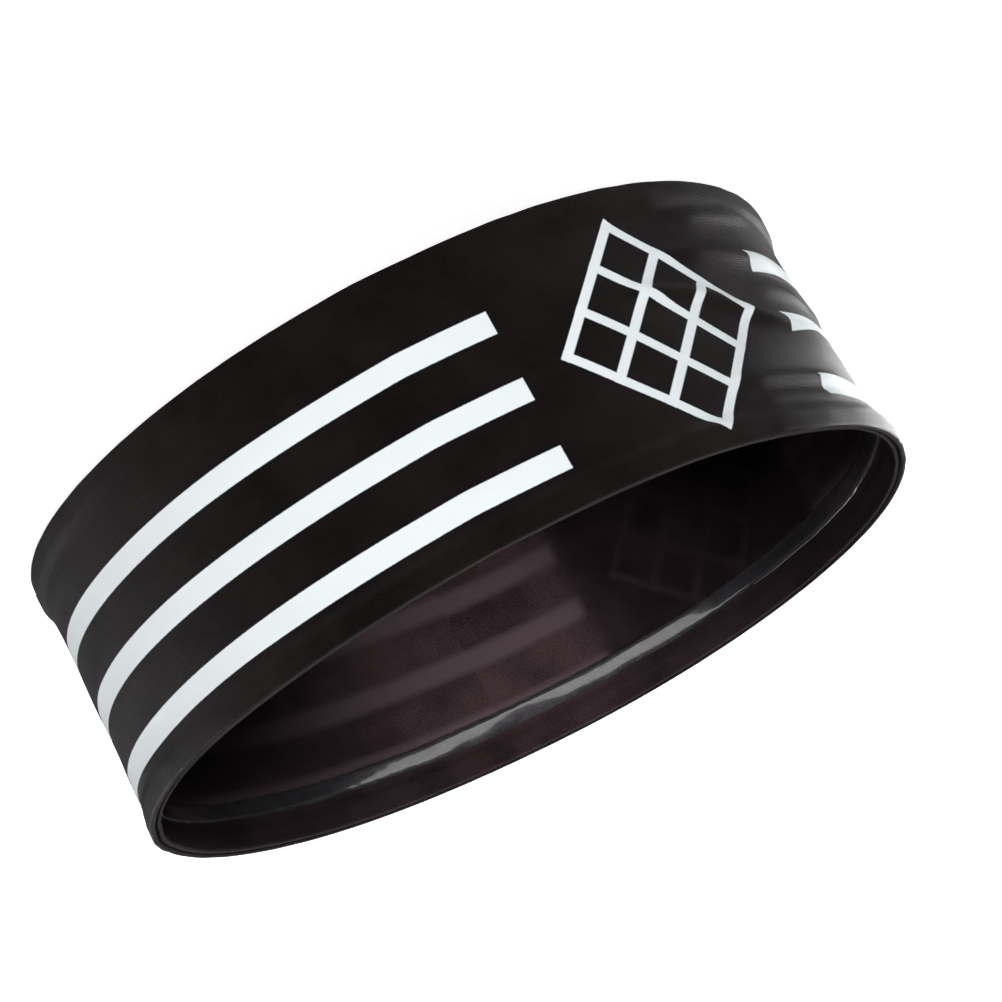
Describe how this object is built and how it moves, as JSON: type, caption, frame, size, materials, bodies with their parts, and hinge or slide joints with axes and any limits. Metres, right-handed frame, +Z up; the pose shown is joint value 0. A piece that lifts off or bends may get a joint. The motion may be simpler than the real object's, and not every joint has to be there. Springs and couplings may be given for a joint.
{
  "type": "sports headband",
  "caption": "Wide double-layer stretch-knit headband tube with printed stripes and lozenge motif, folded rims and a silicone grip strip round the inside.",
  "frame": {"origin": "middle of the band's box, on the surface that the plain rim stands on", "axes": "+Z up through the head opening towards the grip rim, +X along the long axis of the oval, -Y the front with its motif"},
  "size_m": [0.197, 0.154, 0.07],
  "materials": {
    "printed_knit": "matte",
    "lining_knit": "satin",
    "grip_silicone": "gloss",
    "thread": "matte"
  },
  "bodies": {
    "root": {"outer_shell": "printed_knit", "inner_lining": "lining_knit", "silicone_grip_strip": "grip_silicone", "grip_rim_seam_thread": "thread", "plain_rim_seam_thread": "thread", "shell_closing_thread": "thread", "lining_closing_thread": "thread"}
  },
  "joints": []
}
